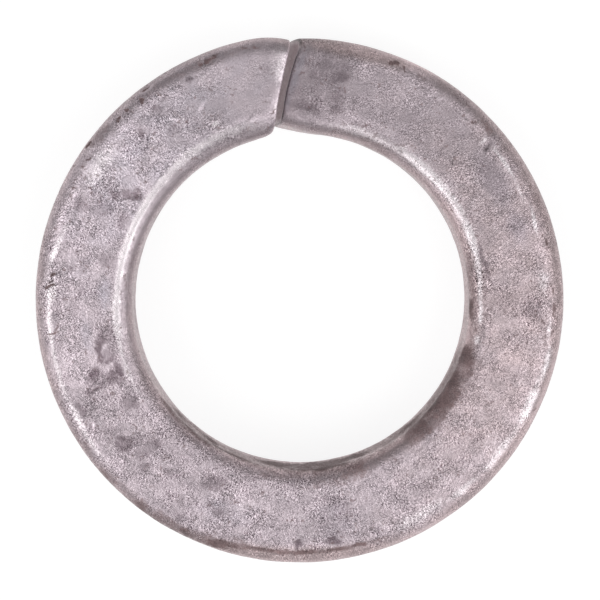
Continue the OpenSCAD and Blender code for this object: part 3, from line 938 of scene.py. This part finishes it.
def add_marks(mesh, points, bearing, across):
    """Writes the marks at the mesh's vertices, as the numbers that the material reads."""
    bands_across = across + noise_field(points, BAND_WAVE, 15) * BAND_SWAY
    bands = mark_field(bearing, bands_across, BANDS, sharpness=1, power=12)
    ragged_places = ragged(points, bearing, across)
    add_values(mesh, "stain", mark_field(*ragged_places, STAINS, CRISP) + bands)
    add_values(mesh, "patch", mark_field(*ragged_places, PATCHES, CRISP))
    for name, marks in SOFT_MARKS.items():
        add_values(mesh, name, mark_field(bearing, across, marks))
    edge = np.clip((abs(across) - EDGE_FROM) / EDGE_L, 0, 1)
    under = np.clip((abs(across) - UNDER_FROM) / EDGE_L, 0, 1)
    add_values(mesh, "edge", edge - UNDER_FADE * under)
    add_values(mesh, "cut_shade_and_highlight", np.broadcast_to(painted_cut_lines(len(across)), across.shape))
    add_values(mesh, "cut", np.zeros(across.shape), cap_value=1)


def build_washer():
    """The washer's visual mesh, in the CAD's place."""
    r, h, a = swept_wire()
    smooth = placed(r, h, a)
    across = np.broadcast_to(girth() / MM, a.shape)
    bearing = np.degrees(a - SPLIT_TURN) % 360
    pits = mark_field(bearing, across, PITS)
    points = smooth + outward(smooth) * relief(smooth, pits)[..., None]
    verts, faces = wire_mesh(points)
    mesh = bpy.data.meshes.new("lock_washer")
    mesh.from_pydata(verts.tolist(), [], faces)
    mesh.shade_smooth()
    mesh.update()
    add_marks(mesh, smooth, bearing, across)
    strokes = np.zeros((len(verts), 3))
    strokes[:a.size] = stroke_field(smooth, bearing, across).reshape(-1, 3)
    mesh.attributes.new("stroke", "FLOAT_VECTOR", "POINT").data.foreach_set("vector", strokes.ravel())
    washer = bpy.data.objects.new("lock_washer", mesh)
    bpy.context.scene.collection.objects.link(washer)
    return washer


# ---------------------------------------------------------------- materials

# How far a noise's seed moves it along each axis
SEED_SHIFT = 0.173


class Graph:
    """Short names for the shader nodes that this script uses."""

    def __init__(self, name):
        self.material = bpy.data.materials.new(name)
        self.material.use_nodes = True
        self.tree = self.material.node_tree
        self.tree.nodes.clear()

    def node(self, kind, inputs=(), **settings):
        """A node with its settings made and its inputs linked or set."""
        made = self.tree.nodes.new(kind)
        for key, value in settings.items():
            setattr(made, key, value)
        for key, value in dict(inputs).items():
            self.put(made.inputs[key], value)
        return made

    def put(self, socket, value):
        """Links a socket to the input, or sets the input to a plain value."""
        if isinstance(value, bpy.types.NodeSocket):
            self.tree.links.new(value, socket)
        else:
            socket.default_value = value

    def place(self):
        return self.node("ShaderNodeTexCoord").outputs["Object"]

    def value(self, name):
        """The number that the mesh holds under a name."""
        return self.node("ShaderNodeAttribute", attribute_name=name).outputs["Fac"]

    def moved(self, place, shift):
        """A place, or any vector, plus another."""
        return self.node("ShaderNodeVectorMath", {0: place, 1: shift}, operation="ADD").outputs[0]

    def noise(self, size, detail, seed, rough=0.55, warp=0.0, shift=None):
        """Noise from 0 to 1 with features about size metres across, and each seed its own."""
        place = self.moved(self.place(), (seed * SEED_SHIFT,) * 3)
        if shift:
            place = self.moved(place, shift)
        inputs = {"Vector": place, "Scale": 1 / size, "Detail": detail, "Roughness": rough,
                  "Distortion": warp}
        return self.node("ShaderNodeTexNoise", inputs, noise_dimensions="3D").outputs["Fac"]

    def strokes(self, size, length, seed, count=4):
        """Noise drawn out along the surface's stroke vector, from 0 to 1."""
        way = self.node("ShaderNodeAttribute", attribute_name="stroke").outputs["Vector"]
        parts = []
        for k in range(count):
            step = self.scaled(way, length * (k / (count - 1) - 0.5))
            parts.append(self.noise(size, 0.0, seed, shift=step))
        return self.times(self.total(*parts), 1 / count)

    def math(self, operation, a, b=0.0):
        return self.node("ShaderNodeMath", {0: a, 1: b}, operation=operation).outputs[0]

    def times(self, a, b):
        return self.math("MULTIPLY", a, b)

    def total(self, *terms):
        """Sum of several numbers."""
        out = terms[0]
        for term in terms[1:]:
            out = self.math("ADD", out, term)
        return out

    def swing(self, value, amount):
        """A noise centred on 0: minus amount where it is 0.25 or less, plus amount where 0.75 or more."""
        return self.node("ShaderNodeMapRange", {"Value": value, "From Min": 0.25, "From Max": 0.75,
                                                "To Min": -amount, "To Max": amount}).outputs["Result"]

    def ramp(self, value, start, end, low=0.0, high=1.0):
        """Smooth step from low to high as the value goes from start to end."""
        inputs = {"Value": value, "From Min": start, "From Max": end, "To Min": low, "To Max": high}
        return self.node("ShaderNodeMapRange", inputs, interpolation_type="SMOOTHSTEP").outputs["Result"]

    def blend(self, factor, a, b):
        """Colour a where the factor is 0 and colour b where it is 1."""
        a, b = ((*c, 1) if isinstance(c, tuple) else c for c in (a, b))
        return self.node("ShaderNodeMix", {0: factor, 6: a, 7: b}, data_type="RGBA").outputs[2]

    def scaled(self, colour, factor):
        """A colour times a number."""
        made = self.node("ShaderNodeVectorMath", {0: colour, "Scale": factor}, operation="SCALE")
        return made.outputs["Vector"]


ZINC = (0.464, 0.398, 0.430)
ZINC_WARM = (0.500, 0.398, 0.405)
ZINC_BLUE = (0.405, 0.384, 0.438)
ZINC_DULL = (0.175, 0.136, 0.154)
# Pale zinc for the polished edges, partly a painted highlight of the side lights
ZINC_POLISH_HIGHLIGHT = (0.70, 0.64, 0.665)
OXIDE = (0.174, 0.118, 0.119)
CUT_STEEL = (0.47, 0.365, 0.385)
# What the grain's painted shade in its hollows adds to the colour: a warm tint
SHADE_TINT = (0.05, 0.0, 0.03)

# How bright the bare coat is beside its base colour
COAT_LEVEL = 0.905
# Height that a bump of strength 1 stands for
BUMP_DEPTH = 0.05 * MM

# Sizes of the coat's grain, from the finest up, and of its uneven areas
SPECK = 0.078 * MM
STROKE, STROKE_L = 0.11 * MM, 0.28 * MM
# Size of the painted relief shading, and how far apart along X its lit and its shaded copy of one noise
# stand, as if lit from the left and right
EMBOSS_SIZE, EMBOSS_SHIFT = 0.16 * MM, 0.03 * MM
PEBBLE = 0.25 * MM
PIT = 0.30 * MM
FLAKE = 0.34 * MM
CREASE = 0.36 * MM
LUMP = 0.60 * MM
MOTTLE = 1.1 * MM
CREASED_AREA = 1.3 * MM
ROUGH_AREA = 1.5 * MM
WARM_AREA = 1.6 * MM
DULL_AREA = 2.2 * MM
CLOUD = 3.5 * MM


def coat_noises(g):
    """The noises that the coat's relief and tones share, by name."""
    curl = g.noise(CREASE, 1.0, 12.0, warp=1.3)
    on_crease = g.ramp(g.math("ABSOLUTE", g.total(curl, -0.5)), 0.0, 0.04, 1.0, 0.0)
    creased = g.ramp(g.noise(CREASED_AREA, 1.0, 13.0), 0.42, 0.58)
    # A lit and a shaded copy of one noise, set apart along X: painted relief shading, as from the side lights
    lit_side, dark_side = (g.noise(EMBOSS_SIZE, 2.0, 14.0, warp=0.6, shift=(side * EMBOSS_SHIFT, 0, 0))
                           for side in (1, -1))
    return {
        "speck": g.noise(SPECK, 1.0, 1.0),
        "stroke": g.strokes(STROKE, STROKE_L, 8.0),
        "pebble": g.noise(PEBBLE, 2.0, 2.0, rough=0.6, warp=0.5),
        "flake": g.ramp(g.noise(FLAKE, 2.0, 6.0, rough=0.6, warp=0.8), 0.44, 0.56),
        "crease": g.times(on_crease, creased),
        "painted_emboss": g.total(lit_side, g.times(dark_side, -1.0)),
        "lump": g.noise(LUMP, 1.0, 3.0),
        "mottle": g.noise(MOTTLE, 3.0, 4.0, rough=0.6),
        "cloud": g.noise(CLOUD, 2.0, 5.0),
    }


def grain_strength(g, polish_and_highlight):
    """How strong the grain is: more or less where marked, less on polished edges with their painted
    highlights and on dull patches.
    """
    grain = g.times(g.ramp(g.value("grain"), -1.0, 1.0, 0.0, 2.0), g.ramp(polish_and_highlight, 0.0, 1.0, 1.0, 0.4))
    grain = g.times(grain, g.ramp(g.noise(ROUGH_AREA, 2.0, 11.0), 0.36, 0.62, 0.5, 1.3))
    return g.times(grain, g.ramp(g.value("patch"), 0.0, 1.0, 1.0, 0.55))


def coat_normal(g, noises, grain):
    """The surface normal, bent by the grain."""
    height = g.total(g.swing(noises["stroke"], 0.26), g.swing(noises["speck"], 0.10),
                     g.swing(noises["pebble"], 0.14), g.swing(noises["lump"], 0.16),
                     g.times(noises["flake"], 0.15), g.times(noises["crease"], 0.60))
    inputs = {"Height": g.times(height, grain), "Strength": 1.0, "Distance": BUMP_DEPTH}
    return g.node("ShaderNodeBump", inputs).outputs["Normal"]


def coat_hue(g, noises, polish_and_highlight):
    """Colour of the bare coat without its grain: warmer or bluer, dull in patches, pale where polished as a
    painted highlight.
    """
    warmth = g.total(g.value("warmth"), g.swing(g.noise(WARM_AREA, 2.0, 10.0), 0.22),
                     g.times(g.value("edge"), 1.1))
    colour = g.blend(g.ramp(warmth, 0.0, 1.5), ZINC, ZINC_WARM)
    colour = g.blend(g.ramp(warmth, 0.0, -1.5), colour, ZINC_BLUE)
    uneven = g.total(1.0, g.swing(noises["mottle"], 0.3), g.swing(noises["pebble"], 0.15))
    dull = g.ramp(g.noise(DULL_AREA, 5.0, 7.0, rough=0.6), 0.52, 0.62, 0.0, 0.12)
    patch = g.total(g.times(g.value("patch"), uneven), dull)
    colour = g.blend(g.times(patch, 0.85), colour, ZINC_DULL)
    return g.blend(polish_and_highlight, colour, ZINC_POLISH_HIGHLIGHT)


def grained(g, noises, grain, colour):
    """The coat's colour with its grain, scratches and lighter and darker places, part of them painted
    highlight and shade.
    """
    # The grain in the colour: partly the coat's own speckle, partly painted relief shading, with lighter
    # crests and creases and darker hollows
    fine = g.total(g.swing(noises["speck"], 0.52), g.swing(noises["stroke"], 0.16),
                   g.times(noises["painted_emboss"], 2.1), g.times(noises["flake"], 0.03),
                   g.times(noises["crease"], 0.18), 0.07)
    fine = g.times(fine, grain)
    # Bright lines paint glints along scratches and creases; dark ones are cracks
    line = g.times(g.value("line"), g.ramp(noises["pebble"], 0.42, 0.56, 0.35, 1.0))
    # The tone marks add painted highlight and shade on the edge arcs and beside the cut
    level = g.total(COAT_LEVEL, fine, g.swing(noises["mottle"], 0.07), g.swing(noises["cloud"], 0.07),
                    # The cut lines paint a shadow along the low end's cut and a highlight along the raised
                    # end's
                    g.times(line, 0.5), g.times(g.value("tone_and_painted_light"), 0.16), g.times(g.value("cut_shade_and_highlight"), -0.42))
    hollow = g.scaled(SHADE_TINT, g.math("MAXIMUM", g.times(fine, -1.0), 0.0))
    return g.moved(g.scaled(colour, level), hollow)


def oxide_cover(g, noises):
    """How far brown oxide covers the coat, from 0 to 1: in stains, and in small pits."""
    stain = g.total(g.value("stain"), g.swing(noises["mottle"], 0.2), g.swing(noises["pebble"], 0.15))
    stain = g.ramp(stain, 0.1, 1.0, 0.0, 0.92)
    pitted = g.math("MAXIMUM", g.ramp(noises["mottle"], 0.48, 0.62), g.ramp(g.value("pitted"), 0.1, 0.8))
    pits = g.times(g.ramp(g.noise(PIT, 1.0, 9.0), 0.39, 0.32), pitted)
    return g.math("MAXIMUM", stain, g.times(pits, 0.6))


def zinc():
    """Dull hot-dip galvanised zinc: grained, patched, stained along its edges, plain on the cut faces."""
    g = Graph("galvanised_zinc")
    noises = coat_noises(g)
    mottle, stroke, pebble = noises["mottle"], noises["stroke"], noises["pebble"]
    # Polished edges: a paler colour painted as highlight, a lower roughness and less grain
    polish_and_highlight = g.ramp(g.total(g.value("polish_and_highlight"), g.swing(mottle, 0.25), g.swing(stroke, 0.25)), 0.0, 1.2)
    grain = grain_strength(g, polish_and_highlight)
    stain = oxide_cover(g, noises)

    colour = grained(g, noises, grain, coat_hue(g, noises, polish_and_highlight))
    blotches = g.total(1.0, g.swing(mottle, 0.4), g.swing(noises["speck"], 0.3), g.swing(pebble, 0.3))
    colour = g.blend(stain, colour, g.scaled(OXIDE, blotches))
    colour = g.blend(g.value("cut"), colour, CUT_STEEL)

    bare = g.math("MAXIMUM", g.value("cut"), stain)
    roughness = g.total(g.ramp(pebble, 0.3, 0.7, 0.34, 0.5), g.times(polish_and_highlight, -0.16), g.times(bare, 0.2))
    surface = g.node("ShaderNodeBsdfPrincipled", {
        "Base Color": colour,
        "Metallic": g.ramp(bare, 0.0, 1.0, 0.85, 0.3),
        "Roughness": roughness,
        "Specular IOR Level": g.ramp(bare, 0.0, 1.0, 0.5, 0.2),
        "Normal": coat_normal(g, noises, grain),
    })
    g.node("ShaderNodeOutputMaterial", {"Surface": surface.outputs["BSDF"]})
    return g.material


def floor_material():
    """Plain white floor that keeps the object's shadow and shows white to the camera and in reflections."""
    g = Graph("white_floor")
    path = g.node("ShaderNodeLightPath").outputs
    seen = g.math("MAXIMUM", path["Is Camera Ray"], path["Is Glossy Ray"])
    seen = g.math("MAXIMUM", seen, path["Is Transmission Ray"])
    matt = g.node("ShaderNodeBsdfDiffuse", {"Color": (FLOOR_WHITE,) * 3 + (1,)})
    light = g.node("ShaderNodeEmission", {"Strength": g.times(seen, FLOOR_GLOW)})
    both = g.node("ShaderNodeAddShader", {0: matt.outputs[0], 1: light.outputs[0]})
    g.node("ShaderNodeOutputMaterial", {"Surface": both.outputs[0]})
    return g.material


# ---------------------------------------------------------------- stage

SPAN = 2 * RIM_R
CENTRE = (cad_low + cad_high) / 2

FLOOR_R, FLOOR_SIDES = 60 * SPAN, 64
# How pale the floor is, and how bright it looks to the camera and in reflections
FLOOR_WHITE, FLOOR_GLOW = 0.25, 0.83
WORLD_LEVEL = 0.36

# Name, direction to the light, its distance and size in washer widths, and its radiance
LIGHTS = [
    ("left", (-0.72, -0.36, 1.0), 9, (7.5, 7.5), 1.95),
    ("right", (0.74, -0.22, 1.0), 9, (7.5, 7.5), 1.95),
    ("front", (0.0, -1.0, 0.6), 9, (8.0, 4.0), 0.8),
    ("overhead", (0.0, -0.15, 1.0), 11, (6.0, 6.0), 0.42),
    ("sky", (0.0, 0.15, 1.0), 11, (9.0, 9.0), 0.24),
]


def add_light(name, way, distance, size, radiance):
    """A soft rectangular light that faces the washer and has a plain radiance."""
    data = bpy.data.lights.new(name, "AREA")
    data.shape = "RECTANGLE"
    data.size, data.size_y = (s * SPAN for s in size)
    data.energy = radiance * math.pi * data.size * data.size_y
    lamp = bpy.data.objects.new(name, data)
    lamp.location = CENTRE + Vector(way).normalized() * distance * SPAN
    lamp.rotation_mode = "QUATERNION"
    lamp.rotation_quaternion = Vector(way).to_track_quat("Z", "Y")
    bpy.context.scene.collection.objects.link(lamp)


def add_world():
    """A pale grey room where the camera sees past the floor, and a plain soft level everywhere else."""
    world = bpy.data.worlds.new("studio")
    bpy.context.scene.world = world
    world.use_nodes = True
    tree = world.node_tree
    tree.nodes.clear()
    path = tree.nodes.new("ShaderNodeLightPath")
    level = tree.nodes.new("ShaderNodeMapRange")
    level.inputs["To Min"].default_value = WORLD_LEVEL
    level.inputs["To Max"].default_value = 1.0
    tree.links.new(path.outputs["Is Camera Ray"], level.inputs["Value"])
    back = tree.nodes.new("ShaderNodeBackground")
    tree.links.new(level.outputs["Result"], back.inputs["Strength"])
    out = tree.nodes.new("ShaderNodeOutputWorld")
    tree.links.new(back.outputs[0], out.inputs["Surface"])


def add_floor():
    """A wide round floor under the washer."""
    mesh = bpy.data.meshes.new("floor")
    turns = np.linspace(0, 2 * math.pi, FLOOR_SIDES, endpoint=False)
    rim = [(math.cos(t) * FLOOR_R, math.sin(t) * FLOOR_R, cad_low.z) for t in turns]
    mesh.from_pydata(rim, [], [list(range(FLOOR_SIDES))])
    floor = bpy.data.objects.new("floor", mesh)
    floor.data.materials.append(floor_material())
    bpy.context.scene.collection.objects.link(floor)


# The camera stands over the washer, a little towards the split, and aims a little off its middle
CAMERA_DISTANCE = 128.0 * MM
CAMERA_WAY = Vector((-0.018, 0.085, 0.9962))
AIM = Vector((-0.15, 0.07, 0.0)) * MM
LENS, SENSOR = 102.95, 36


def add_camera():
    """The camera, turned so that +Y is up in the picture."""
    data = bpy.data.cameras.new("camera")
    data.sensor_width = SENSOR
    data.lens = LENS
    camera = bpy.data.objects.new("camera", data)
    camera.location = CENTRE + CAMERA_WAY.normalized() * CAMERA_DISTANCE
    back = (camera.location - CENTRE - AIM).normalized()
    right = Vector((0, 1, 0)).cross(back).normalized()
    camera.rotation_mode = "QUATERNION"
    camera.rotation_quaternion = Matrix((right, back.cross(right), back)).transposed().to_quaternion()
    bpy.context.scene.collection.objects.link(camera)
    bpy.context.scene.camera = camera


washer = build_washer()
washer.data.materials.append(zinc())
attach(washer, "root")
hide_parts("washer")

add_camera()
add_world()
add_floor()
for light in LIGHTS:
    add_light(*light)

bpy.context.scene.view_settings.view_transform = "Standard"
